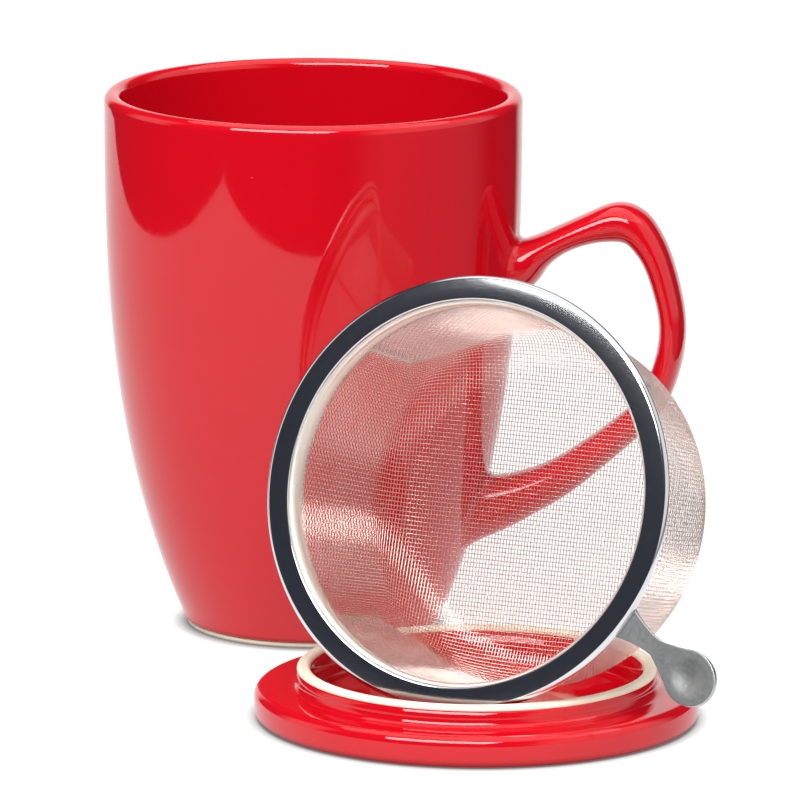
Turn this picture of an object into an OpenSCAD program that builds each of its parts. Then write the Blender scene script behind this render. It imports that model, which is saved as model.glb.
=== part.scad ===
// Tea mug with a loose lid and a lift-out mesh infuser.
// Frame: origin at the centre of the mug's foot, on the table. +Z is up and -Y is the front.
// The mug stands alone. The lid lies upside down before it, and the infuser leans in the lid.

/* [Mug] */
// Outer radius of the mug at its lip
mug_r = 44; // [38:0.5:50]
// Height of the mug's lip above the table
mug_h = 114; // [100:0.2:130]
// Outer radius of the side just above the foot
mug_foot_r = 26.4; // [23:0.1:30]
// How sharply the side turns up: a larger power gives a straighter upper side
side_power = 2.93; // [2.2:0.02:3.4]
// Thickness of the side
mug_wall = 3.6; // [2.8:0.1:4.4]
// Thickness of the floor above the foot ring
mug_floor_t = 5.5; // [4:0.1:8]
// Radius of the curve from the inner floor to the side
inner_corner_r = 11; // [6:0.5:14]
// Height of the bare foot ring
foot_h = 1.2; // [0.8:0.1:2]
// Width of the bare foot ring
foot_w = 3.6; // [2.4:0.1:5]

/* [Handle] */
// Direction in which the handle leaves the mug, in degrees about Z
handle_turn = -8; // [-30:1:20]
// Farthest reach of the handle's middle line from the mug's axis
handle_reach = 76.5; // [70:0.1:86]
// Height of the handle's upper corner, at its middle line
handle_top_z = 88.3; // [82:0.1:96]
// Height at which the handle's lower root joins the side
handle_low_z = 26.8; // [22:0.1:34]
// Height at which the handle's upper root joins the side
handle_root_z = 78.8; // [72:0.1:84]
// Thickness of the handle at its outer bend
handle_t = 5.6; // [4.6:0.1:7]
// Width of the handle across
handle_w = 13; // [10:0.1:16]
// How much wider and thicker the handle is at its roots
root_flare_ratio = 1.25; // [1:0.05:1.5]

/* [Lid] */
// Outer radius of the lid
lid_r = 45.3; // [40:0.5:52]
// Thickness of the lid at its edge
lid_t = 6.4; // [5.2:0.1:8]
// Thickness of the lid inside its plug ring
lid_middle_t = 3.6; // [3:0.1:4.8]
// Rounding of the lid's edge
lid_edge_r = 2; // [1:0.1:2.5]
// Outer radius of the plug ring
plug_r = 36.6; // [34:0.1:37.4]
// Wall of the plug ring
plug_wall = 2.7; // [2:0.1:3.6]
// How far the plug ring stands above the lid's edge face
plug_h = 4.4; // [3.6:0.1:8]
// Height of the bare clay end of the plug ring
bare_h = 1; // [0.8:0.1:2]
// Fillet between the plug ring and the edge face
plug_fillet = 1.8; // [1:0.1:3]
// Sideways place of the lid's centre, seen from the front
lid_x = 35.2; // [20:0.1:50]
// Distance of the lid's centre in front of the mug's axis
lid_y = 84.7; // [80:0.1:110]

/* [Infuser rim] */
// Outer radius of the rolled rim
rim_r = 44; // [41.4:0.1:46]
// Radius of the rolled edge of the rim
bead_r = 1.2; // [0.8:0.05:1.6]
// Inner radius of the rim, where it turns down
rim_inner_r = 39; // [38.2:0.1:39.4]
// Thickness of the collar's sheet
collar_t = 0.6; // [0.4:0.05:1]
// Depth of the collar below the rim
collar_h = 4.6; // [3:0.1:8]

/* [Infuser cup] */
// Depth of the mesh cup below the rim
cup_depth = 42.3; // [34:0.1:56]
// Outer radius of the mesh cup just above its corner
cup_r = 37.1; // [33:0.1:38]
// Radius of the corner from the side to the floor of the mesh
corner_r = 9; // [5:0.1:12]
// Thickness of a wire
wire_d = 0.5; // [0.3:0.05:0.7]
// Distance between neighbouring wires
wire_pitch = 4; // [3:0.5:6]

/* [Infuser tab] */
// Direction of the tab round the rim, in degrees from the lean's level line
tab_turn = -30.8; // [-60:0.1:0]
// Thickness of the tab's sheet
tab_t = 1; // [0.6:0.1:1.4]
// Length of the tab from the rim to its bend
tab_root_l = 8; // [6:0.1:12]
// Width of the tab where it leaves the rim
tab_root_w = 7; // [5:0.1:9]
// Width of the tab's neck, at its bend
tab_neck_w = 3.5; // [2.6:0.1:4.6]
// Upward bend of the tab's paddle, in degrees
tab_bend = 12; // [4:1:25]
// Distance from the bend to the middle of the thumb pad
pad_l = 10.2; // [8:0.1:14]
// Half the length of the thumb pad
pad_long_r = 6.4; // [5:0.1:8]
// Half the width of the thumb pad
pad_r = 5.4; // [4:0.1:7]
// Depth of the dish in the thumb pad
dish_t = 0.35; // [0.2:0.05:0.5]

/* [Lean] */
// Upward tilt of the infuser's mouth, in degrees
lean = 16; // [10:0.1:24]
// Turn of the infuser's mouth from the front, in degrees
lean_turn = -24.5; // [-40:0.1:0]
// How far the infuser stands to the side of the lid's middle line
lean_side = 4; // [0:0.1:8]
// Space left where one piece rests on another
seat_gap = 0.3; // [0.2:0.05:0.5]

/* [Hidden] */
$fn = 144;

glaze = [0.80, 0.05, 0.08];
clay = [0.93, 0.89, 0.78];
steel = [0.62, 0.64, 0.67];
wire = [0.78, 0.75, 0.73];

// Points on an arc round c, from angle a to angle b, in n steps
function arc(c, r, a, b, n) = [for (i = [0:n]) c + r * [cos(a + (b - a) * i / n), sin(a + (b - a) * i / n)]];

// ---- Mug ----
profile_steps = 30;
side_top = mug_h - mug_wall / 2;
inner_floor_z = foot_h + mug_floor_t;
base_edge_r = 1.6;
function side_r(z) = mug_r - (mug_r - mug_foot_r) * pow(1 - min(z, mug_h) / mug_h, side_power);
inner_corner_z = inner_floor_z + inner_corner_r;
inner_corner_x = side_r(inner_corner_z) - mug_wall - inner_corner_r;
base_z = foot_h + base_edge_r;
base_x = side_r(base_z) - base_edge_r;
foot_step = 0.6;
foot_r = base_x + foot_step;
foot_edge_r = 0.8;
foot_bevel = 0.3;

outer_side = [for (i = [1:profile_steps])
    let (z = base_z + (side_top - base_z) * i / profile_steps) [side_r(z), z]];
inner_side = [for (i = [0:profile_steps - 1])
    let (z = side_top + (inner_corner_z - side_top) * i / profile_steps) [side_r(z) - mug_wall, z]];
lip = arc([mug_r - mug_wall / 2, side_top], mug_wall / 2, 0, 180, 10);
mug_outline = concat(
    [[0, foot_h]],
    arc([base_x, base_z], base_edge_r, -90, 0, 6),
    [for (i = [0:profile_steps - 2]) outer_side[i]],
    lip,
    [for (i = [1:profile_steps - 1]) inner_side[i]],
    arc([inner_corner_x, inner_corner_z], inner_corner_r, 0, -90, 10),
    [[0, inner_floor_z]]);

module mug_body() {
    color(glaze) rotate_extrude() polygon(mug_outline);
}

// Bare ring on which the mug stands, with its outer edge worn round
module mug_foot_ring() {
    color(clay) rotate_extrude() polygon(concat(
        [[foot_r - foot_w, foot_h], [foot_r - foot_w, foot_bevel], [foot_r - foot_w + foot_bevel, 0]],
        arc([foot_r - foot_edge_r, foot_edge_r], foot_edge_r, -90, 0, 5),
        [[foot_r, foot_h]]));
}

// ---- Handle ----
// Middle line as [share of the reach beyond the side, share of the height, thickness, width].
// The shares run from the side to the farthest reach, and from the lower root to the upper corner.
root_share = (handle_root_z - handle_low_z) / (handle_top_z - handle_low_z);
handle_stations = [
    [-0.080, root_share - 0.026, 1.86 * root_flare_ratio, 1.12 * root_flare_ratio],
    [0.036, root_share, 1.50 * root_flare_ratio, 1.04 * root_flare_ratio],
    [0.150, 0.889, 1.26, 1.10],
    [0.290, 0.934, 1.03, 1.02],
    [0.461, 0.973, 1.13, 1.00],
    [0.632, 0.998, 1.46, 1.00],
    [0.732, 0.988, 1.42, 1.00],
    [0.812, 0.950, 1.25, 1.00],
    [0.901, 0.868, 1.08, 1.00],
    [0.976, 0.735, 1.00, 1.00],
    [1.000, 0.629, 0.99, 1.00],
    [0.973, 0.517, 1.04, 1.00],
    [0.889, 0.393, 1.07, 1.00],
    [0.800, 0.306, 1.09, 1.00],
    [0.609, 0.198, 1.22, 1.00],
    [0.411, 0.101, 1.44, 1.02],
    [0.242, 0.044, 1.70, 1.06],
    [0.095, 0.006, 1.66 * root_flare_ratio, 0.94 * root_flare_ratio],
    [-0.015, -0.013, 1.92 * root_flare_ratio, 1.04 * root_flare_ratio],
    [-0.080, -0.022, 2.16 * root_flare_ratio, 1.14 * root_flare_ratio]];

root_top_r = side_r(handle_root_z);
root_low_r = side_r(handle_low_z);
// The share of a station is measured from the side of the mug at that root's height
function root_r(i) = i < len(handle_stations) / 2 + 3 ? root_top_r : root_low_r;
function station(i) = let (s = handle_stations[i], r0 = root_r(i))
    [r0 + s[0] * (handle_reach - r0), handle_low_z + s[1] * (handle_top_z - handle_low_z),
     s[2] * handle_t, s[3] * handle_w];

loft_steps = 4;
section_sides = 28;
last_station = len(handle_stations) - 1;
// Smooth curve through the stations
function between(a, b, c, d, t) = 0.5 * (2 * b + (c - a) * t + (2 * a - 5 * b + 4 * c - d) * t * t
    + (3 * b - a - 3 * c + d) * t * t * t);
function rib(k) = let (i = min(floor(k / loft_steps), last_station - 1), t = k / loft_steps - i)
    between(station(max(i - 1, 0)), station(i), station(i + 1), station(min(i + 2, last_station)), t);
rib_count = last_station * loft_steps + 1;
ribs = [for (k = [0:rib_count - 1]) rib(k)];
// Direction of the middle line at rib k
function run(k) = let (a = ribs[max(k - 1, 0)], b = ribs[min(k + 1, rib_count - 1)],
    d = [b[0] - a[0], b[1] - a[1]]) d / norm(d);
// A rib's section is a rounded strap: flatter than an ellipse on its broad faces
strap_power = 0.86;
function soft(v) = sign(v) * pow(abs(v), strap_power);
function section(k) = let (p = ribs[k], d = run(k), n = [-d[1], d[0]])
    [for (j = [0:section_sides - 1]) let (a = 360 * j / section_sides,
        across = soft(cos(a)) * p[3] / 2, out = soft(sin(a)) * p[2] / 2)
        [p[0] + n[0] * out, across, p[1] + n[1] * out]];

module handle_loft() {
    points = [for (k = [0:rib_count - 1]) each section(k)];
    sides = [for (k = [0:rib_count - 2], j = [0:section_sides - 1])
        let (a = k * section_sides + j, b = k * section_sides + (j + 1) % section_sides)
        [a, a + section_sides, b + section_sides, b]];
    first = [for (j = [0:section_sides - 1]) j];
    last = [for (j = [section_sides - 1:-1:0]) (rib_count - 1) * section_sides + j];
    polyhedron(points, concat(sides, [first, last]));
}

module mug_handle() {
    color(glaze) difference() {
        rotate([0, 0, handle_turn]) handle_loft();
        rotate_extrude() polygon(concat([[0, foot_h]],
            arc([base_x, base_z], base_edge_r, -90, 0, 6),
            outer_side, [[mug_r, mug_h], [0, mug_h]]));
    }
}

// ---- Lid ----
ring_top = lid_t + plug_h;
ring_inner_r = plug_r - plug_wall;
bare_z = ring_top - bare_h;

module at_lid() {
    translate([lid_x, -lid_y, 0]) children();
}

module lid_plate() {
    color(glaze) at_lid() rotate_extrude() polygon(concat(
        [[0, 0]],
        arc([lid_r - lid_edge_r, lid_edge_r], lid_edge_r, -90, 0, 6),
        arc([lid_r - lid_edge_r, lid_t - lid_edge_r], lid_edge_r, 0, 90, 6),
        [[plug_r, lid_t], [plug_r, lid_middle_t], [0, lid_middle_t]]));
}

// Ring that drops into the mug, with a fillet where it leaves the edge face
module lid_plug_ring() {
    color(glaze) at_lid() rotate_extrude() polygon(concat(
        [[ring_inner_r, bare_z], [ring_inner_r, lid_middle_t], [plug_r, lid_middle_t], [plug_r, lid_t]],
        arc([plug_r + plug_fillet, lid_t + plug_fillet], plug_fillet, -90, -180, 6),
        [[plug_r, bare_z]]));
}

// End of the ring, wiped clean of glaze: the lid stands on it in the kiln
module lid_bare_edge() {
    end_r = min(bare_h, plug_wall / 2) - 0.1;
    color(clay) at_lid() rotate_extrude() polygon(concat(
        [[ring_inner_r, bare_z], [plug_r, bare_z]],
        arc([plug_r - end_r, ring_top - end_r], end_r, 0, 90, 5),
        arc([ring_inner_r + end_r, ring_top - end_r], end_r, 90, 180, 5)));
}

// ---- Place of the infuser ----
// Its own frame has its axis along Z, its mouth up and the underside of its rim at Z = 0.
corner_mid_r = cup_r - corner_r;
corner_mid_z = cup_depth - corner_r;
bead_mid_r = rim_r - bead_r;
// The corner of the cup stands on the middle of the lid
seat_z = lid_middle_t + seat_gap + corner_r + corner_mid_r * cos(lean) + corner_mid_z * sin(lean);
// The rolled rim leans against the inner edge of the plug ring: its middle line at angle t from
// its lowest point has this height and this distance in front of the infuser's own origin
function bead_z(t) = seat_z - bead_mid_r * cos(t) * cos(lean) + bead_r * sin(lean);
function bead_out(t) = bead_mid_r * cos(t) * sin(lean) + bead_r * cos(lean);
clear = bead_r + seat_gap;
function edge_clear(t) = let (over = max(0, bead_z(t) - ring_top)) sqrt(max(0, clear * clear - over * over));
function reach(t) = let (side = lean_side + bead_mid_r * sin(t), r = ring_inner_r - edge_clear(t))
    sqrt(max(0, r * r - side * side)) - bead_out(t);
seat_out = min([for (t = [0:0.5:60]) if (bead_z(t) < ring_top + clear) reach(t)]);

module at_infuser() {
    at_lid() rotate([0, 0, lean_turn]) translate([lean_side, -seat_out, seat_z])
        rotate([90 - lean, 0, 0]) children();
}

// ---- Infuser rim and collar ----
rim_crown = 2 * bead_r;

// Rolled rim: flat below, where it sits on the mug's lip, with a face that rises towards the mouth
module infuser_rim() {
    inner_edge = 0.5;
    color(steel) at_infuser() rotate_extrude() polygon(concat(
        [[rim_inner_r, 0]],
        arc([rim_r - bead_r, bead_r], bead_r, -90, 30, 8),
        arc([rim_inner_r + inner_edge, rim_crown - inner_edge], inner_edge, 78, 180, 5)));
}

// Sheet collar that carries the mesh, with the same draft as the cup
cup_mouth_r = rim_inner_r - 0.05;
mouth_x = cup_mouth_r - corner_mid_r;
mouth_span = norm([mouth_x, corner_mid_z]);
draft = acos(corner_r / mouth_span) - atan2(corner_mid_z, mouth_x);
wall_l = sqrt(mouth_span * mouth_span - corner_r * corner_r);
down = [-sin(draft), -cos(draft)];
inward = [-cos(draft), sin(draft)];
// A point of the cup's side: s down from the mouth and q in from its outer face
function side_at(s, q) = [cup_mouth_r, 0] + s * down + q * inward;

module infuser_collar() {
    color(steel) at_infuser() rotate_extrude() polygon([
        side_at(0, 0), side_at(collar_h, 0), side_at(collar_h, -collar_t),
        [side_at(0, -collar_t)[0], 0]]);
}

// ---- Mesh cup ----
wire_r = wire_d / 2;
wire_touch = 0.02;
upright_count = round(2 * PI * cup_r / wire_pitch);
hoop_count = floor((wall_l - collar_h) / wire_pitch);
floor_reach = corner_mid_r - wire_d;
floor_side = floor((floor_reach - wire_d) / wire_pitch);
layer_step = wire_d + wire_touch;

module round_the_cup() {
    for (i = [0:upright_count - 1]) rotate([0, 0, 360 * (i + 0.5) / upright_count]) children();
}

// Wires that run down the side
module mesh_uprights() {
    top = side_at(wire_r, wire_r + wire_touch);
    color(wire) at_infuser() round_the_cup()
        translate([top[0], 0, top[1]]) rotate([0, 180 + draft, 0])
            cylinder(h = wall_l - 2 * wire_r, r = wire_r);
}

// Wires that run round the side, inside the uprights
module mesh_hoops() {
    color(wire) at_infuser() for (i = [1:hoop_count]) {
        p = side_at(wall_l - (i - 0.5) * wire_pitch, wire_r + layer_step + wire_touch);
        translate([0, 0, p[1]]) rotate_extrude() translate([p[0], 0]) circle(r = wire_r, $fn = 16);
    }
}

// Wires that carry the uprights round the corner to the floor
module mesh_corners() {
    color(wire) at_infuser() round_the_cup()
        translate([corner_mid_r, 0, -corner_mid_z]) rotate([90, 0, 0]) rotate([0, 0, -90])
            rotate_extrude(angle = 90 - draft) translate([corner_r - wire_r - wire_touch, 0])
                circle(r = wire_r, $fn = 16);
}

// One layer of straight wires across the floor
module floor_layer(z) {
    for (i = [-floor_side:floor_side]) {
        l = sqrt(floor_reach * floor_reach - pow(i * wire_pitch, 2));
        translate([i * wire_pitch, -l, z]) rotate([-90, 0, 0]) cylinder(h = 2 * l, r = wire_r);
    }
}

module mesh_floor_warp() {
    color(wire) at_infuser() floor_layer(-cup_depth + wire_r + wire_touch);
}

module mesh_floor_weft() {
    color(wire) at_infuser() rotate([0, 0, 90]) floor_layer(-cup_depth + wire_r + wire_touch + layer_step);
}

// ---- Infuser tab ----
tab_start = rim_r - bead_r + sqrt(bead_r * bead_r - pow(bead_r - tab_t, 2)) + wire_touch;
bend_r = 2.5;
tab_bend_x = rim_r + tab_root_l;
bend_mid = [tab_bend_x, tab_t + bend_r];
flare_steps = 10;
pad_margin = 2;
// Angle from the pad's rear at which the neck's flare meets it
pad_join = 50;
pad_dir = [cos(tab_bend), sin(tab_bend)];
pad_up = [-sin(tab_bend), cos(tab_bend)];
pad_mid = bend_mid - bend_r * pad_up + pad_l * pad_dir;
pad_end = (pad_l + pad_long_r + pad_margin) * pad_dir;
dish_r = pad_r - 1.6;
dish_ball_r = (dish_r * dish_r + dish_t * dish_t) / (2 * dish_t);
dish_mid = pad_mid + (dish_ball_r - dish_t) * pad_up;

// Half widths from the neck at the bend to half width b at distance l, with a power p
function flare(l, b, p) = [for (i = [0:flare_steps]) let (t = i / flare_steps)
    [tab_bend_x + l * t, tab_neck_w / 2 + (b - tab_neck_w / 2) * pow(t, p)]];

// The tab's sheet seen from its side: straight, a true bend, and straight again
module tab_side() {
    polygon(concat(
        [[tab_start, 0]],
        arc(bend_mid, bend_r + tab_t, -90, tab_bend - 90, 5),
        [bend_mid - (bend_r + tab_t) * pad_up + pad_end, bend_mid - bend_r * pad_up + pad_end],
        arc(bend_mid, bend_r, tab_bend - 90, -90, 5),
        [[tab_start, tab_t]]));
}

// The tab seen from above: flared root, neck, and flare to the round thumb pad
module tab_plan() {
    root = flare(-tab_root_l - bead_r, tab_root_w / 2, 2);
    neck = flare(pad_mid[0] - pad_long_r * cos(pad_join) - tab_bend_x, pad_r * sin(pad_join), 1.2);
    half = concat([for (i = [flare_steps:-1:1]) root[i]], [for (i = [0:flare_steps - 1]) neck[i]],
        [for (p = arc([0, 0], 1, 180 - pad_join, 0, 14)) [pad_mid[0] + pad_long_r * p[0], pad_r * p[1]]]);
    polygon(concat(half, [for (i = [len(half) - 2:-1:0]) [half[i][0], -half[i][1]]]));
}

module infuser_tab() {
    color(steel) at_infuser() rotate([0, 0, tab_turn]) difference() {
        intersection() {
            rotate([90, 0, 0]) linear_extrude(2 * pad_r + pad_margin, center = true) tab_side();
            translate([0, 0, -tab_t]) linear_extrude(pad_end[1] + 4 * tab_t) tab_plan();
        }
        translate([dish_mid[0], 0, dish_mid[1]]) sphere(r = dish_ball_r);
    }
}

mug_body();
mug_foot_ring();
mug_handle();
lid_plate();
lid_plug_ring();
lid_bare_edge();
infuser_rim();
infuser_collar();
mesh_uprights();
mesh_hoops();
mesh_corners();
mesh_floor_warp();
mesh_floor_weft();
infuser_tab();
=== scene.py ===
"""Tea mug with a loose lid and a lift-out mesh infuser, laid out for a studio picture.

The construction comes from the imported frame. This file makes the glazed, bare and steel surfaces
round it, the woven cloth of the infuser, and the stage.
"""

import math

import bmesh
import bpy
import numpy as np
from bpy.props import FloatProperty, FloatVectorProperty, PointerProperty
from mathutils import Matrix, Vector


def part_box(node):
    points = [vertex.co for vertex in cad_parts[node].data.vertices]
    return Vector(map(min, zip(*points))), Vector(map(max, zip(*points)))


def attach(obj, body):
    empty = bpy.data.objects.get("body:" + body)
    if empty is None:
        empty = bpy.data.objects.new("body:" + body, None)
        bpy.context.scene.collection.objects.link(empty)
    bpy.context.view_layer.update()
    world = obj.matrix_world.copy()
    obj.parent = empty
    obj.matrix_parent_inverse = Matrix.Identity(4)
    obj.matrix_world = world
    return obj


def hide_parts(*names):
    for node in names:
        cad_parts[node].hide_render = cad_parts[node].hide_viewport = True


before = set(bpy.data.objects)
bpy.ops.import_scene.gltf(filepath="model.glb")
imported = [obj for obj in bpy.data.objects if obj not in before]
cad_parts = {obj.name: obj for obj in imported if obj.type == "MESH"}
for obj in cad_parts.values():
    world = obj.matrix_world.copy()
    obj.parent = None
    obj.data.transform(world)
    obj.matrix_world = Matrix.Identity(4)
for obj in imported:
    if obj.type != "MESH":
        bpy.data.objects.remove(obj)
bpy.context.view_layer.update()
mug_low, mug_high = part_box("mug_body")

bl_info = {
    "name": "Tea mug with lid and infuser",
    "version": (1, 0, 0),
    "blender": (4, 5, 0),
    "location": "View3D > Sidebar > Tea mug",
    "description": "Glazed mug, plug lid and woven steel infuser",
    "category": "Add Mesh",
}

MM = 0.001

# Faces round a turned piece
TURNED_SIDES = 192
# How far the collar's outer face stands inside the rim
COLLAR_GAP = 0.05 * MM
# Rounding of the rim's inner edge
RIM_INNER_EDGE = 0.5 * MM


# ---- Sizes and colours ----


def length(name, description, default_mm):
    """A length property, given in millimetres and kept in metres."""
    return FloatProperty(
        name=name, description=description, default=default_mm * MM, unit="LENGTH", precision=5
    )


def turn(name, description, default_degrees):
    """An angle property, given in degrees and kept in radians."""
    return FloatProperty(
        name=name, description=description, default=math.radians(default_degrees), unit="ROTATION"
    )


def colour(name, description, default):
    return FloatVectorProperty(
        name=name, description=description, default=default, subtype="COLOR", min=0, max=1
    )


class MugSizes(bpy.types.PropertyGroup):
    """Sizes of the mug that its box in the frame doesn't give"""

    wall: length("Wall", "Thickness of the side", 3.6)
    foot_radius: length("Foot radius", "Outer radius of the side just above the foot", 26.4)
    side_power: FloatProperty(name="Side power", description="How sharply the side turns up", default=2.93)
    base_edge: length("Base edge", "Rounding between the side and the glazed underside", 1.6)
    inner_corner: length("Inner corner", "Radius from the inner floor to the side", 11)
    floor: length("Floor", "Thickness of the floor above the foot ring", 5.5)
    ring_width: length("Ring width", "Width of the bare foot ring", 3.6)
    root_fillet: length("Root fillet", "Reach of the fillet round each root of the handle", 1.6)


class LidSizes(bpy.types.PropertyGroup):
    """Sizes of the lid that its boxes in the frame don't give"""

    edge: length("Edge", "Thickness of the lid at its edge", 6.4)
    middle: length("Middle", "Thickness of the lid inside its plug ring", 3.6)
    edge_round: length("Edge rounding", "Rounding of the lid's edge", 2.0)
    ring_wall: length("Ring wall", "Wall of the plug ring", 2.7)
    fillet: length("Fillet", "Fillet between the plug ring and the edge face", 1.8)
    inner_fillet: length("Inner fillet", "Fillet inside the plug ring", 1.2)


class InfuserSizes(bpy.types.PropertyGroup):
    """Sizes of the infuser that its boxes in the frame don't give"""

    bead: length("Bead", "Radius of the rolled edge of the rim", 1.2)
    inner_radius: length("Inner radius", "Inner radius of the rim", 39)
    collar_sheet: length("Collar sheet", "Thickness of the collar", 0.6)
    collar_depth: length("Collar depth", "Depth of the collar below the rim", 4.6)
    cup_depth: length("Cup depth", "Depth of the cup below the rim", 42.3)
    cup_radius: length("Cup radius", "Radius of the cup just above its corner", 37.1)
    corner: length("Corner", "Radius of the corner from the side to the floor", 9)
    wire: length("Wire", "Thickness of a wire of the cloth", 0.15)
    warp_pitch: length("Warp pitch", "Distance between neighbouring upright wires", 0.68)
    weft_pitch: length("Weft pitch", "Distance between neighbouring level wires", 0.9)
    cloth_top: length("Cloth top", "Where the cloth ends, below the rim", 1.5)
    net_radius: length("Net radius", "Radius at which the flat cloth is taken to turn up", 36)
    tab_sheet: length("Tab sheet", "Thickness of the tab", 1.0)
    tab_turn: turn("Tab turn", "Direction of the tab round the rim", -30.8)
    tab_root: length("Tab root", "Length of the tab from the rim to its bend", 8)
    tab_root_width: length("Tab root width", "Width of the tab at the rim", 7)
    tab_neck_width: length("Tab neck width", "Width of the tab at its bend", 3.5)
    tab_bend: turn("Tab bend", "Upward bend of the paddle", 12)
    pad_reach: length("Pad reach", "From the bend to the middle of the thumb pad", 10.2)
    pad_long: length("Pad length", "Half the length of the thumb pad", 6.4)
    pad_wide: length("Pad width", "Half the width of the thumb pad", 5.4)
    dish_depth: length("Dish depth", "Depth of the dish in the thumb pad", 0.3)
    tab_edge: length("Tab edge", "Rounding of the tab's stamped edge", 0.15)


class Finishes(bpy.types.PropertyGroup):
    """Colours of the finishes, with painted light in the collar and wire steels"""

    glaze: colour("Glaze", "Red gloss glaze", (0.57, 0.0025, 0.010))
    clay: colour("Clay", "Bare fired clay", (0.86, 0.78, 0.62))
    rim_steel: colour("Rim steel", "Polished steel of the rim", (0.74, 0.75, 0.77))
    # The collar's near-white cream colour is a painted highlight: the bright band of light on its inner
    # edge, laid over the steel's own tone
    collar_steel_with_painted_highlight: colour("Collar steel", "Satin steel of the collar", (0.98, 0.93, 0.84))
    # The wires' pink tint is a painted reflection of the red glaze around them, on top of the steel's own
    # grey
    wire_steel_with_painted_red_reflection: colour("Wire steel", "Steel of the woven wires", (0.86, 0.72, 0.66))
    tab_steel: colour("Tab steel", "Satin steel of the tab", (0.52, 0.53, 0.52))


class StageSizes(bpy.types.PropertyGroup):
    """The camera, the floor and the lights"""

    lens: FloatProperty(name="Lens", description="Focal length in mm on a 36 mm sensor", default=406.7)
    camera_place: FloatVectorProperty(
        name="Camera place",
        description="Where the camera stands",
        default=(0.0402, -1.8719, 0.4375),
        unit="LENGTH",
    )
    camera_pitch: turn("Camera pitch", "How far the camera looks down", 11.757)
    camera_yaw: turn("Camera yaw", "How far the camera looks to the right", -0.667)
    camera_roll: turn("Camera roll", "Turn of the camera about its view", 0.213)
    sheet_front: length("Sheet front", "How far the white sheet reaches in front of the mug", 390)
    sheet_left: length("Sheet left", "How far the white sheet reaches to the left of the mug", 425)
    sheet_right: length("Sheet right", "How far the white sheet reaches to the right of the mug", 220)
    sheet_back: length("Sheet back", "How far the white sheet reaches behind the mug", 2500)
    sheet_light: FloatVectorProperty(
        name="Sheet light", description="Light that comes up through the sheet", default=(0.90, 0.90, 0.90),
        subtype="COLOR",
    )
    dark_side: colour("Dark side", "The room in front of the stage", (0.034, 0.037, 0.05))
    right_side: colour("Right side", "The floor of the room to the right of the stage", (0.32, 0.29, 0.34))
    white_wall: colour("White wall", "The walls to the left and right of the stage", (0.95, 0.93, 0.90))


GROUPS = {
    "tea_mug": MugSizes,
    "tea_lid": LidSizes,
    "tea_infuser": InfuserSizes,
    "tea_finishes": Finishes,
    "tea_stage": StageSizes,
}


# ---- Making pieces ----


def arc(centre, radius, start, end, steps):
    """Points (r, z) on an arc, with its angles in degrees."""
    angles = [math.radians(start + (end - start) * i / steps) for i in range(steps + 1)]
    return [(centre[0] + radius * math.cos(a), centre[1] + radius * math.sin(a)) for a in angles]


def lathe(outline, place=None, closed=False):
    """A bmesh of an outline of (r, z) points turned about Z."""
    bm = bmesh.new()
    verts = [bm.verts.new((r, 0, z)) for r, z in outline]
    edges = [bm.edges.new(pair) for pair in zip(verts, verts[1:])]
    if closed:
        edges.append(bm.edges.new((verts[-1], verts[0])))
    bmesh.ops.spin(
        bm, geom=verts + edges, cent=(0, 0, 0), axis=(0, 0, 1), dvec=(0, 0, 0),
        angle=2 * math.pi, steps=TURNED_SIDES, use_merge=True, use_duplicate=False,
    )
    bmesh.ops.remove_doubles(bm, verts=bm.verts, dist=1e-7)
    bmesh.ops.recalc_face_normals(bm, faces=bm.faces)
    if place is not None:
        bmesh.ops.transform(bm, matrix=place, verts=bm.verts)
    return bm


def add_piece(name, bm, material, body, nodes):
    """Turns a bmesh into a smooth piece that rides on a body and stands for the nodes."""
    mesh = bpy.data.meshes.new(name)
    bm.to_mesh(mesh)
    bm.free()
    mesh.polygons.foreach_set("use_smooth", [True] * len(mesh.polygons))
    mesh.materials.append(material)
    piece = bpy.data.objects.new(name, mesh)
    bpy.context.scene.collection.objects.link(piece)
    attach(piece, body)
    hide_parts(*nodes)
    return piece


def rim_place():
    """The infuser's own frame, read from its rim.

    Z points out of the mouth, and Z = 0 is the rim's underside.
    """
    points = np.array([v.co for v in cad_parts["infuser_rim"].data.vertices], float)
    axis = np.linalg.svd(points - points.mean(0), full_matrices=False)[2][2]
    out = Vector(axis if axis[1] < 0 else -axis).normalized()
    level = Vector((0, 0, 1)).cross(out).normalized()
    up = out.cross(level)
    span = [points @ np.array(d) for d in (level, up, out)]
    origin = (
        level * float(span[0].min() + span[0].max()) / 2
        + up * float(span[1].min() + span[1].max()) / 2
        + out * float(span[2].min())
    )
    turned = Matrix((level, up, out)).transposed().to_4x4()
    return Matrix.Translation(origin) @ turned


def rim_radius(place):
    """Outer radius of the rim, whose own frame is given."""
    level = place.to_3x3().col[0]
    points = (v.co - place.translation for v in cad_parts["infuser_rim"].data.vertices)
    return max(point.dot(level) for point in points)


def lid_place():
    low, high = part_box("lid_plate")
    return Matrix.Translation(((low.x + high.x) / 2, (low.y + high.y) / 2, 0))


# ---- Finishes ----


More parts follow.
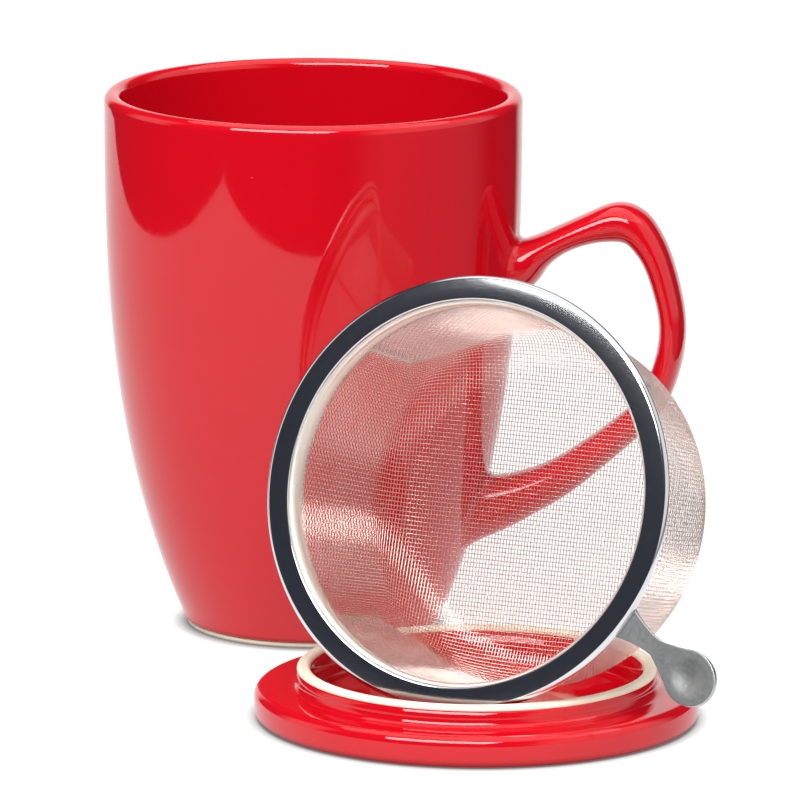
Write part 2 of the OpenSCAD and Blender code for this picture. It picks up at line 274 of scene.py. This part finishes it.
class Recipe:
    """A node material with one Principled shader, and short ways to add to it."""

    def __init__(self, name):
        self.material = bpy.data.materials.new(name)
        self.material.use_nodes = True
        self.tree = self.material.node_tree
        self.shader = self.tree.nodes["Principled BSDF"]
        self.where = self.tree.nodes.new("ShaderNodeTexCoord")

    def set(self, **values):
        for name, value in values.items():
            self.shader.inputs[name.replace("_", " ")].default_value = value
        return self

    def node(self, kind, **values):
        node = self.tree.nodes.new("ShaderNode" + kind)
        for name, value in values.items():
            if hasattr(node, name):
                setattr(node, name, value)
            else:
                node.inputs[name.replace("_", " ")].default_value = value
        return node

    def link(self, source, target):
        self.tree.links.new(source, target)

    def noise(self, scale, detail=2):
        """A noise value at a scale in repeats a metre."""
        noise = self.node("TexNoise", Scale=scale, Detail=detail)
        self.link(self.where.outputs["Object"], noise.inputs["Vector"])
        return noise.outputs["Fac"]

    def ramp(self, value, low, high, start, end):
        """The value mapped from start..end to low..high."""
        spread = self.node("MapRange")
        for name, number in (("From Min", start), ("From Max", end), ("To Min", low), ("To Max", high)):
            spread.inputs[name].default_value = number
        self.link(value, spread.inputs["Value"])
        return spread.outputs["Result"]

    def tint(self, value, first, second):
        """Base colour that goes from first to second with the value."""
        mix = self.node("Mix", data_type="RGBA")
        mix.inputs["A"].default_value = (*first, 1)
        mix.inputs["B"].default_value = (*second, 1)
        self.link(value, mix.inputs["Factor"])
        self.link(next(o for o in mix.outputs if o.type == "RGBA"), self.shader.inputs["Base Color"])

    def bump(self, value, height, strength=1.0):
        """A bump of the given height in metres where the value goes from 0 to 1."""
        bump = self.node("Bump", Strength=strength, Distance=height)
        self.link(value, bump.inputs["Height"])
        last = self.shader.inputs["Normal"]
        if last.is_linked:
            self.link(last.links[0].from_socket, bump.inputs["Normal"])
        self.link(bump.outputs["Normal"], last)


def shade(rgb, factor):
    return tuple(min(1, c * factor) for c in rgb)


def glaze_finish(red):
    """Poured gloss glaze: nearly flat, with faint pooling, a slow wave in the surface and rare pinholes."""
    recipe = Recipe("glaze")
    recipe.set(IOR=1.52)
    recipe.tint(recipe.noise(45), shade(red, 0.94), shade(red, 1.05))
    recipe.link(recipe.ramp(recipe.noise(900), 0.025, 0.06, 0.3, 0.7), recipe.shader.inputs["Roughness"])
    recipe.bump(recipe.noise(70), 0.05 * MM, 0.5)
    pits = recipe.node("TexVoronoi", feature="F1", Scale=90)
    recipe.link(recipe.where.outputs["Object"], pits.inputs["Vector"])
    recipe.bump(recipe.ramp(pits.outputs["Distance"], 0, 1, 0.0, 0.035), 0.06 * MM, 0.6)
    return recipe.material


def clay_finish(cream):
    """Bare fired clay: matt, finely pitted and slightly uneven in colour."""
    recipe = Recipe("clay")
    recipe.set(Roughness=0.82)
    recipe.tint(recipe.noise(350, 4), shade(cream, 0.9), shade(cream, 1.06))
    recipe.bump(recipe.noise(2600, 3), 0.05 * MM, 0.6)
    return recipe.material


def steel_finish(name, grey, roughness, grain):
    """Steel, slightly uneven in tone and polish, and not quite flat."""
    recipe = Recipe(name)
    recipe.set(Metallic=1.0)
    recipe.tint(recipe.noise(grain, 3), shade(grey, 0.95), shade(grey, 1.04))
    polish = recipe.ramp(recipe.noise(grain * 3), roughness * 0.93, roughness * 1.07, 0.3, 0.7)
    recipe.link(polish, recipe.shader.inputs["Roughness"])
    recipe.bump(recipe.noise(150), 0.01 * MM, 0.5)
    return recipe.material


_made = {}


def finish(name):
    """The material of that name, made once from the scene's colours."""
    if name not in _made:
        tones = bpy.context.scene.tea_finishes
        _made[name] = {
            "glaze": lambda: glaze_finish(tones.glaze),
            "clay": lambda: clay_finish(tones.clay),
            "rim": lambda: steel_finish("rim_steel", tones.rim_steel, 0.12, 300),
            # The collar's colour carries a painted highlight over its satin steel
            "collar": lambda: steel_finish("collar_steel_with_painted_highlight", tones.collar_steel_with_painted_highlight, 0.45, 400),
            # The wires' colour carries a painted reflection of the red glaze
            "wire": lambda: steel_finish("wire_steel_with_painted_red_reflection", tones.wire_steel_with_painted_red_reflection, 0.22, 200),
            "tab": lambda: steel_finish("tab_steel", tones.tab_steel, 0.34, 500),
        }[name]()
    return _made[name]


# ---- Mug ----


def side_radius(sizes, z):
    """Outer radius of the mug's side at height z."""
    share = 1 - min(z, mug_high.z) / mug_high.z
    return mug_high.x - (mug_high.x - sizes.foot_radius) * share**sizes.side_power


def side_slope(sizes, z):
    """How fast the side's radius grows with height."""
    step = 0.1 * MM
    return (side_radius(sizes, z + step) - side_radius(sizes, z - step)) / (2 * step)


class TEA_OT_mug_body(bpy.types.Operator):
    """Turned body of the mug, glazed inside and out"""

    bl_idname = "tea.mug_body"
    bl_label = "Mug body"

    def execute(self, context):
        sizes = context.scene.tea_mug
        low, high = mug_low, mug_high
        steps = 72
        lip = sizes.wall / 2
        top = high.z - lip
        base_z = low.z + sizes.base_edge
        lean = math.degrees(math.atan(side_slope(sizes, base_z)))
        base_mid = (
            side_radius(sizes, base_z) - sizes.base_edge * math.cos(math.radians(lean)),
            base_z,
        )
        inner_z = low.z + sizes.floor + sizes.inner_corner
        inner_lean = math.degrees(math.atan(side_slope(sizes, inner_z)))
        inner_mid = (
            side_radius(sizes, inner_z)
            - sizes.wall
            - sizes.inner_corner * math.cos(math.radians(inner_lean)),
            inner_z,
        )
        start = base_z - sizes.base_edge * math.sin(math.radians(lean))
        heights = [start + (top - start) * i / steps for i in range(1, steps)]
        stop = inner_z - sizes.inner_corner * math.sin(math.radians(inner_lean))
        inner_heights = [top + (stop - top) * i / steps for i in range(1, steps)]
        outline = (
            [(0, low.z)]
            + arc(base_mid, sizes.base_edge, -90, -lean, 10)
            + [(side_radius(sizes, z), z) for z in heights]
            + arc((high.x - lip, top), lip, 0, 180, 20)
            + [(side_radius(sizes, z) - sizes.wall, z) for z in inner_heights]
            + arc(inner_mid, sizes.inner_corner, -inner_lean, -90, 16)
            + [(0, low.z + sizes.floor)]
        )
        add_piece("mug_glazed_body", lathe(outline), finish("glaze"), "mug", ["mug_body"])
        return {"FINISHED"}


class TEA_OT_mug_foot(bpy.types.Operator):
    """Bare clay ring that the mug stands on"""

    bl_idname = "tea.mug_foot"
    bl_label = "Mug foot"

    def execute(self, context):
        sizes = context.scene.tea_mug
        low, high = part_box("mug_foot_ring")
        outer, worn, bevel = high.x, 0.8 * MM, 0.3 * MM
        inner = outer - sizes.ring_width
        outline = (
            [(inner, high.z), (inner, bevel)]
            + arc((inner + bevel, bevel), bevel, 180, 270, 4)
            + arc((outer - worn, worn), worn, -90, 0, 8)
            + [(outer, high.z)]
        )
        ring = lathe(outline, closed=True)
        add_piece("mug_bare_foot", ring, finish("clay"), "mug", ["mug_foot_ring"])
        return {"FINISHED"}


def side_normal(sizes, co):
    """Outward direction of the mug's side at the height and in the direction of a point."""
    out = Vector((co.x, co.y, 0)).normalized()
    return (out - Vector((0, 0, side_slope(sizes, co.z)))).normalized()


def on_side(sizes, co):
    """The point of the mug's side at the height and in the direction of a point."""
    out = Vector((co.x, co.y, 0)).normalized()
    return out * side_radius(sizes, co.z) + Vector((0, 0, co.z))


def open_loop(bm, upper, middle):
    """The open end's edges above or below the middle, and each of its vertices with its two neighbours."""
    edges = [e for e in bm.edges if e.is_boundary and (e.verts[0].co.z > middle) == upper]
    neighbours = {}
    for edge in edges:
        for vert in edge.verts:
            neighbours.setdefault(vert, []).append(edge.other_vert(vert).co.copy())
    return edges, neighbours


def fillet_root(bm, sizes, edges, neighbours):
    """Leads the open end of the handle down to the mug's side in a hollow curve.

    The end is closed inside the mug's wall.
    """
    middle = sum((v.co for v in neighbours), Vector()) / len(neighbours)
    curves = {}
    for vert, (before, after) in neighbours.items():
        normal = side_normal(sizes, vert.co)
        tangent = (after - before).normalized()
        out = normal.cross(tangent).normalized()
        if out.dot(vert.co - middle) < 0:
            out.negate()
        inner = [e for e in vert.link_edges if not e.is_boundary]
        along = sum((vert.co - e.other_vert(vert).co for e in inner), Vector())
        along = (along - tangent * along.dot(tangent)).normalized()
        drop = (vert.co - on_side(sizes, vert.co)).dot(normal) / max(0.35, -along.dot(normal))
        corner = on_side(sizes, vert.co + along * drop)
        end = on_side(sizes, corner + out * sizes.root_fillet) - normal * 0.01 * MM
        curves[vert] = (vert.co.copy(), corner, end)
    steps = 7
    for step in range(1, steps + 2):
        grown = bmesh.ops.extrude_edge_only(bm, edges=edges)["geom"]
        edges = [g for g in grown if isinstance(g, bmesh.types.BMEdge) and g.is_boundary]
        moved = {}
        for vert in (g for g in grown if isinstance(g, bmesh.types.BMVert)):
            last = next(e.other_vert(vert) for e in vert.link_edges if e.other_vert(vert) in curves)
            start, corner, end = moved[vert] = curves[last]
            t = min(1, step / steps)
            vert.co = start * (1 - t) ** 2 + corner * 2 * t * (1 - t) + end * t * t
            if step > steps:
                vert.co -= side_normal(sizes, end) * 1.2 * MM
        curves = moved
    bmesh.ops.holes_fill(bm, edges=edges, sides=0)


class TEA_OT_mug_handle(bpy.types.Operator):
    """Strap handle, with a fillet of clay and glaze round each root"""

    bl_idname = "tea.mug_handle"
    bl_label = "Mug handle"

    def execute(self, context):
        sizes = context.scene.tea_mug
        bm = bmesh.new()
        bm.from_mesh(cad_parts["mug_handle"].data)
        bmesh.ops.remove_doubles(bm, verts=bm.verts, dist=0.004 * MM)
        low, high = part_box("mug_handle")
        middle = (low.z + high.z) / 2
        for upper in (True, False):
            half = [v.co for v in bm.verts if (v.co.z > middle) == upper]
            near = [co for co in half if self.depth(sizes, co) < 0.1 * MM]
            root = on_side(sizes, sum(near, Vector()) / len(near))
            normal = side_normal(sizes, root)
            faces = [f for f in bm.faces if (f.calc_center_median().z > middle) == upper]
            geom = (
                faces
                + list({e for f in faces for e in f.edges})
                + list({v for f in faces for v in f.verts})
            )
            cut = root + normal * sizes.root_fillet
            bmesh.ops.bisect_plane(
                bm, geom=geom, dist=1e-6, plane_co=cut, plane_no=normal, clear_inner=True
            )
        bmesh.ops.remove_doubles(bm, verts=bm.verts, dist=0.05 * MM)
        for upper in (True, False):
            fillet_root(bm, sizes, *open_loop(bm, upper, middle))
        bmesh.ops.recalc_face_normals(bm, faces=bm.faces)
        piece = add_piece("mug_glazed_handle", bm, finish("glaze"), "mug", ["mug_handle"])
        smooth = piece.modifiers.new("rounding", "SUBSURF")
        smooth.levels = smooth.render_levels = 1
        return {"FINISHED"}

    @staticmethod
    def depth(sizes, co):
        """How far a point stands out from the mug's side."""
        return (co - on_side(sizes, co)).dot(side_normal(sizes, co))


# ---- Lid ----


class TEA_OT_lid(bpy.types.Operator):
    """Glazed lid, lying upside down, with the bare clay end of its plug ring"""

    bl_idname = "tea.lid"
    bl_label = "Lid"

    def execute(self, context):
        sizes = context.scene.tea_lid
        low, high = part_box("lid_plate")
        radius = (high.x - low.x) / 2
        bare_low, bare_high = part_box("lid_bare_edge")
        ring = (bare_high.x - bare_low.x) / 2
        inner = ring - sizes.ring_wall
        edge, middle, fillet = sizes.edge, sizes.middle, sizes.fillet
        rounding, inside = sizes.edge_round, sizes.inner_fillet
        outline = (
            [(0, 0)]
            + arc((radius - rounding, rounding), rounding, -90, 0, 10)
            + arc((radius - rounding, edge - rounding), rounding, 0, 90, 10)
            + arc((ring + fillet, edge + fillet), fillet, -90, -180, 10)
            + [(ring, bare_low.z), (inner, bare_low.z)]
            + arc((inner - inside, middle + inside), inside, 0, -90, 8)
            + [(0, middle)]
        )
        place = lid_place()
        glazed = lathe(outline, place)
        nodes = ["lid_plate", "lid_plug_ring"]
        add_piece("lid_glazed", glazed, finish("glaze"), "lid", nodes)
        worn = 0.9 * MM
        end = (
            [(inner, bare_low.z), (ring, bare_low.z)]
            + arc((ring - worn, bare_high.z - worn), worn, 0, 90, 8)
            + arc((inner + worn, bare_high.z - worn), worn, 90, 180, 8)
        )
        bare = lathe(end, place, closed=True)
        add_piece("lid_bare_end", bare, finish("clay"), "lid", ["lid_bare_edge"])
        return {"FINISHED"}


# ---- Infuser ----


class Cup:
    """The cup's meridian: a flat floor, a round corner, and a straight side with a slight draft."""

    def __init__(self, sizes):
        self.corner = sizes.corner
        self.mid_r = sizes.cup_radius - sizes.corner
        self.mid_z = sizes.cup_depth - sizes.corner
        mouth = sizes.inner_radius - COLLAR_GAP - self.mid_r
        span = math.hypot(mouth, self.mid_z)
        self.draft = math.acos(self.corner / span) - math.atan2(self.mid_z, mouth)
        self.wall = math.sqrt(span**2 - self.corner**2)
        self.turn = self.corner * (math.pi / 2 - self.draft)
        self.length = self.mid_r + self.turn + self.wall

    def at(self, run, lift):
        """(r, z) at a distance along the meridian from the middle of the floor.

        The point lies inside the outer face by the lift.
        """
        radius = self.corner - lift
        if run <= self.mid_r:
            return run, -self.mid_z - radius
        bend = min((run - self.mid_r) / self.corner, math.pi / 2 - self.draft)
        r = self.mid_r + radius * math.sin(bend)
        z = -self.mid_z - radius * math.cos(bend)
        rest = max(0, run - self.mid_r - self.turn)
        return r + rest * math.sin(self.draft), z + rest * math.cos(self.draft)


def net_place(u, v, radius):
    """Where the crossing (u, v) of a flat cloth lies once the cloth is drawn over the round cup.

    Its wires don't stretch. Returns the distance along the meridian and the angle round it.
    """
    if math.hypot(u, v) <= radius:
        return math.hypot(u, v), math.atan2(v, u)

    def rise(t):
        return t * t / (2 * radius) if t < radius else t - radius / 2

    def drift(t):
        t = min(t, radius)
        return (t * math.sqrt(max(0, 1 - (t / radius) ** 2)) + radius * math.asin(t / radius)) / 2

    run = radius + rise(abs(u)) + rise(abs(v)) - radius / 2
    turn = (drift(abs(v)) - drift(abs(u))) / radius + math.pi / 4
    if u < 0:
        turn = math.pi - turn
    return run, math.copysign(turn, v) if v else turn


def cloth_wires(sizes, cup, warp):
    """Every wire of the warp or of the weft, each as the points where it crosses the other wires."""
    top = cup.length - sizes.cloth_top
    reach = top + sizes.net_radius
    columns = int(reach / sizes.warp_pitch)
    rows = int(reach / sizes.weft_pitch)
    wires = {}
    for i in range(-columns, columns):
        for j in range(-rows, rows):
            u, v = (i + 0.5) * sizes.warp_pitch, (j + 0.5) * sizes.weft_pitch
            run, turn = net_place(u, v, sizes.net_radius)
            if run > top:
                continue
            over = 1 if ((i + j) % 2 == 0) == warp else -1
            r, z = cup.at(run, sizes.wire * (1.05 + over / 2))
            wires.setdefault(i if warp else j, []).append((r * math.cos(turn), r * math.sin(turn), z))
    return [points for _, points in sorted(wires.items()) if len(points) > 2]


def wire_piece(name, wires, thickness, place, nodes):
    """One piece of round wires, from the points that each runs through."""
    curve = bpy.data.curves.new(name, "CURVE")
    curve.dimensions = "3D"
    curve.bevel_depth = thickness / 2
    curve.bevel_resolution = 0
    curve.use_fill_caps = True
    for points in wires:
        spline = curve.splines.new("POLY")
        spline.points.add(len(points) - 1)
        spline.points.foreach_set("co", [c for p in points for c in (*(place @ Vector(p)), 1)])
    tube = bpy.data.objects.new(name, curve)
    bpy.context.scene.collection.objects.link(tube)
    mesh = bpy.data.meshes.new_from_object(tube.evaluated_get(bpy.context.evaluated_depsgraph_get()))
    bpy.data.objects.remove(tube)
    bm = bmesh.new()
    bm.from_mesh(mesh)
    bmesh.ops.recalc_face_normals(bm, faces=bm.faces)
    add_piece(name, bm, finish("wire"), "infuser", nodes)


class TEA_OT_cloth(bpy.types.Operator):
    """Woven wire cloth, drawn to a cup"""

    bl_idname = "tea.cloth"
    bl_label = "Woven cup"

    shares = 2

    def execute(self, context):
        sizes = context.scene.tea_infuser
        cup, place = Cup(sizes), rim_place()
        for name, warp, nodes in (
            ("cloth_warp", True, ["mesh_uprights", "mesh_corners", "mesh_floor_warp"]),
            ("cloth_weft", False, ["mesh_hoops", "mesh_floor_weft"]),
        ):
            wires = cloth_wires(sizes, cup, warp)
            total, run, parts = sum(map(len, wires)), 0, [[] for _ in range(self.shares)]
            for wire in wires:
                parts[min(self.shares - 1, run * self.shares // total)].append(wire)
                run += len(wire)
            for i, part in enumerate(parts):
                wire_piece(f"{name}_{i + 1}", part, sizes.wire, place, nodes)
        return {"FINISHED"}


class TEA_OT_rim(bpy.types.Operator):
    """Rolled rim of the infuser and the collar that holds the cloth"""

    bl_idname = "tea.rim"
    bl_label = "Rim and collar"

    def execute(self, context):
        sizes = context.scene.tea_infuser
        place = rim_place()
        outer = rim_radius(place)
        bead, inner, edge = sizes.bead, sizes.inner_radius, RIM_INNER_EDGE
        crown = 2 * bead
        outline = (
            [(inner, 0)]
            + arc((outer - bead, bead), bead, -90, 78, 20)
            + arc((inner + edge, crown - edge), edge, 78, 180, 8)
        )
        roll = lathe(outline, place, closed=True)
        add_piece("rim_roll", roll, finish("rim"), "infuser", ["infuser_rim"])
        cup = Cup(sizes)
        down = (-math.sin(cup.draft), -math.cos(cup.draft))
        mouth = inner - COLLAR_GAP
        foot = (mouth + sizes.collar_depth * down[0], sizes.collar_depth * down[1])
        sheet = sizes.collar_sheet
        lip = (mouth - 0.8 * MM, 0.4 * MM)
        section = [(mouth, crown - edge), lip, foot, (foot[0] + sheet, foot[1]), (mouth + sheet, 0)]
        collar = lathe(section, place, closed=True)
        add_piece("rim_collar", collar, finish("collar"), "infuser", ["infuser_collar"])
        return {"FINISHED"}


class TEA_OT_tab(bpy.types.Operator):
    """Pressed steel tab with a bent neck and a dished thumb pad"""

    bl_idname = "tea.tab"
    bl_label = "Thumb tab"

    def execute(self, context):
        sizes = context.scene.tea_infuser
        place = rim_place()
        outer = rim_radius(place)
        start, bend = outer - 0.4 * MM, outer + sizes.tab_root
        pad = bend + sizes.pad_reach * math.cos(sizes.tab_bend) + 0.5 * MM
        tip = pad + sizes.pad_long * math.cos(sizes.tab_bend)
        join = math.radians(50)
        neck, shoulder = sizes.tab_neck_width / 2, sizes.pad_wide * math.sin(join)
        neck_end = pad - sizes.pad_long * math.cos(join)

        def half_width(x):
            if x < bend:
                return neck + (sizes.tab_root_width / 2 - neck) * ((bend - x) / (bend - start)) ** 2
            if x < neck_end:
                return neck + (shoulder - neck) * ((x - bend) / (neck_end - bend)) ** 1.2
            return sizes.pad_wide * math.sqrt(max(0, 1 - ((x - pad) / (tip - pad)) ** 2))

        def height(x, y):
            rise = max(0, x - bend) * math.tan(sizes.tab_bend)
            off = math.hypot((x - pad) / (tip - pad), y / sizes.pad_wide) / 0.78
            return rise - (sizes.dish_depth * (1 - off**2) ** 2 if off < 1 else 0)

        bm = bmesh.new()
        bmesh.ops.create_grid(bm, x_segments=120, y_segments=24, size=0.5)
        for vert in bm.verts:
            share = vert.co.x + 0.5
            x = start + (tip - 0.01 * MM - start) * math.sin(share * math.pi / 2)
            y = 2 * vert.co.y * half_width(x)
            vert.co = (x, y, height(x, y))
        # The grid is the underside of the sheet, which thickens up from it
        bmesh.ops.recalc_face_normals(bm, faces=bm.faces)
        bmesh.ops.solidify(bm, geom=list(bm.faces), thickness=sizes.tab_sheet)
        bmesh.ops.recalc_face_normals(bm, faces=bm.faces)
        edges = [e for e in bm.edges if len(e.link_faces) == 2 and e.calc_face_angle() > math.radians(60)]
        bmesh.ops.bevel(
            bm, geom=edges, offset=sizes.tab_edge, segments=2, profile=0.5, affect="EDGES",
            material=-1, clamp_overlap=True,
        )
        swung = Matrix.Rotation(sizes.tab_turn, 4, "Z")
        bmesh.ops.transform(bm, matrix=place @ swung, verts=bm.verts)
        add_piece("thumb_tab", bm, finish("tab"), "infuser", ["infuser_tab"])
        return {"FINISHED"}


# ---- Stage ----


def soft_box(name, place, aim, size, strength):
    """A rectangular area light at a place, turned to a point."""
    light = bpy.data.lights.new(name, "AREA")
    light.shape = "RECTANGLE"
    light.size, light.size_y = size
    light.energy = strength
    box = bpy.data.objects.new(name, light)
    box.location = place
    box.rotation_euler = (Vector(aim) - Vector(place)).to_track_quat("-Z", "Y").to_euler()
    bpy.context.scene.collection.objects.link(box)


class Surroundings:
    """The world: white to the eye, and another room in reflections.

    That room is dark, with a white backdrop, pale walls to the left and right and a paler right floor.
    """

    def __init__(self):
        world = bpy.data.worlds.new("surroundings")
        bpy.context.scene.world = world
        world.use_nodes = True
        self.nodes, self.links = world.node_tree.nodes, world.node_tree.links
        self.nodes.clear()
        where = self.nodes.new("ShaderNodeTexCoord")
        self.split = self.nodes.new("ShaderNodeSeparateXYZ")
        self.links.new(where.outputs["Generated"], self.split.inputs["Vector"])

    def share(self, axis, start, end):
        """0 to 1 as the direction's X, Y or Z goes from start to end."""
        spread = self.nodes.new("ShaderNodeMapRange")
        spread.interpolation_type = "SMOOTHSTEP"
        spread.inputs["From Min"].default_value = start
        spread.inputs["From Max"].default_value = end
        self.links.new(self.split.outputs[axis], spread.inputs["Value"])
        return spread.outputs["Result"]

    def joined(self, operation, first, second):
        math_node = self.nodes.new("ShaderNodeMath")
        math_node.operation = operation
        self.links.new(first, math_node.inputs[0])
        self.links.new(second, math_node.inputs[1])
        return math_node.outputs["Value"]

    def both(self, first, second):
        return self.joined("MULTIPLY", first, second)

    def tally(self, first, second):
        return self.joined("MAXIMUM", first, second)

    def tone(self, share, first, second):
        """The colour that goes from first to second with the share; first may be a tone too."""
        mix = self.nodes.new("ShaderNodeMix")
        mix.data_type = "RGBA"
        if isinstance(first, bpy.types.NodeSocket):
            self.links.new(first, mix.inputs["A"])
        else:
            mix.inputs["A"].default_value = (*first, 1)
        mix.inputs["B"].default_value = (*second, 1)
        self.links.new(share, mix.inputs["Factor"])
        return next(o for o in mix.outputs if o.type == "RGBA")

    def show(self, tone):
        room = self.nodes.new("ShaderNodeBackground")
        self.links.new(tone, room.inputs["Color"])
        eye = self.nodes.new("ShaderNodeBackground")
        eye.inputs["Color"].default_value = (1, 1, 1, 1)
        path = self.nodes.new("ShaderNodeLightPath")
        mix = self.nodes.new("ShaderNodeMixShader")
        out = self.nodes.new("ShaderNodeOutputWorld")
        self.links.new(path.outputs["Is Camera Ray"], mix.inputs["Fac"])
        self.links.new(room.outputs["Background"], mix.inputs[1])
        self.links.new(eye.outputs["Background"], mix.inputs[2])
        self.links.new(mix.outputs["Shader"], out.inputs["Surface"])


class TEA_OT_stage(bpy.types.Operator):
    """White sheet, soft light and the camera"""

    bl_idname = "tea.stage"
    bl_label = "Stage"

    def execute(self, context):
        sizes = context.scene.tea_stage
        bm = bmesh.new()
        bmesh.ops.create_grid(bm, x_segments=1, y_segments=1, size=0.5)
        for vert in bm.verts:
            vert.co.x = sizes.sheet_right if vert.co.x > 0 else -sizes.sheet_left
            vert.co.y = sizes.sheet_back if vert.co.y > 0 else -sizes.sheet_front
        mesh = bpy.data.meshes.new("white_sheet")
        bm.to_mesh(mesh)
        bm.free()
        paper = Recipe("paper")
        paper.set(Roughness=0.9, Emission_Color=(*sizes.sheet_light, 1), Emission_Strength=1.0)
        paper.tint(paper.noise(8), (0.11, 0.11, 0.11), (0.13, 0.13, 0.13))
        # The sheet's glow is dimmed by ambient occlusion close to the pieces standing on it: a painted
        # contact shadow
        painted_contact_shadow = paper.node("AmbientOcclusion", Distance=5 * MM)
        sheet_glow_with_painted_contact_shadow = paper.ramp(painted_contact_shadow.outputs["AO"], 0.15, 1.0, 0.3, 0.75)
        paper.link(sheet_glow_with_painted_contact_shadow, paper.shader.inputs["Emission Strength"])
        mesh.materials.append(paper.material)
        sheet = bpy.data.objects.new("white_sheet", mesh)
        context.scene.collection.objects.link(sheet)
        room = Surroundings()
        right = room.both(room.share("X", 0.3, 0.7), room.share("Y", 0.45, 0.05))
        tone = room.tone(right, sizes.dark_side, sizes.right_side)
        right_wall = room.share("X", 0.4, 0.65)
        left_wall = room.both(room.share("X", -0.7, -0.85), room.share("Y", -0.15, 0.05))
        walls = room.both(room.tally(right_wall, left_wall), room.share("Z", -0.12, 0.0))
        tone = room.tone(room.both(walls, room.share("Y", 0.6, 0.3)), tone, sizes.white_wall)
        room.show(room.tone(room.share("Y", 0.84, 0.93), tone, (1, 1, 1)))
        middle = (0.01, -0.04, 0.05)
        soft_box("key", (-0.36, -1.0, 1.2), middle, (1.35, 0.65), 33)
        soft_box("top", (0.15, 0.15, 1.5), middle, (2.2, 1.6), 14)
        camera = bpy.data.objects.new("camera", bpy.data.cameras.new("camera"))
        camera.data.lens = sizes.lens
        camera.data.sensor_width = 36
        camera.data.clip_end = 50
        pitch, yaw, roll = sizes.camera_pitch, sizes.camera_yaw, sizes.camera_roll
        look = Vector((math.sin(yaw) * math.cos(pitch), math.cos(yaw) * math.cos(pitch), -math.sin(pitch)))
        right = Vector((math.cos(yaw), -math.sin(yaw), 0))
        up = right.cross(look)
        tilted_right = math.cos(roll) * right + math.sin(roll) * up
        tilted_up = -math.sin(roll) * right + math.cos(roll) * up
        turned = Matrix((tilted_right, tilted_up, -look)).transposed().to_4x4()
        camera.matrix_world = Matrix.Translation(sizes.camera_place) @ turned
        context.scene.collection.objects.link(camera)
        context.scene.camera = camera
        context.scene.view_settings.view_transform = "Standard"
        return {"FINISHED"}


class TEA_PT_panel(bpy.types.Panel):
    """Lists the sizes, the colours and the pieces"""

    bl_idname = "TEA_PT_panel"
    bl_label = "Tea mug"
    bl_space_type = "VIEW_3D"
    bl_region_type = "UI"
    bl_category = "Tea mug"

    def draw(self, context):
        for attribute, group in GROUPS.items():
            box = self.layout.box()
            for name in group.__annotations__:
                box.prop(getattr(context.scene, attribute), name)
        for operator in OPERATORS:
            self.layout.operator(operator.bl_idname)


OPERATORS = (
    TEA_OT_mug_body,
    TEA_OT_mug_foot,
    TEA_OT_mug_handle,
    TEA_OT_lid,
    TEA_OT_rim,
    TEA_OT_cloth,
    TEA_OT_tab,
    TEA_OT_stage,
)


def register():
    for cls in (*GROUPS.values(), *OPERATORS, TEA_PT_panel):
        bpy.utils.register_class(cls)
    for attribute, group in GROUPS.items():
        setattr(bpy.types.Scene, attribute, PointerProperty(type=group))


def unregister():
    for attribute in GROUPS:
        delattr(bpy.types.Scene, attribute)
    for cls in reversed((*GROUPS.values(), *OPERATORS, TEA_PT_panel)):
        bpy.utils.unregister_class(cls)


def main():
    register()
    for operator in OPERATORS:
        group, name = operator.bl_idname.split(".")
        getattr(getattr(bpy.ops, group), name)()
    bpy.context.view_layer.update()


if __name__ == "__main__":
    main()
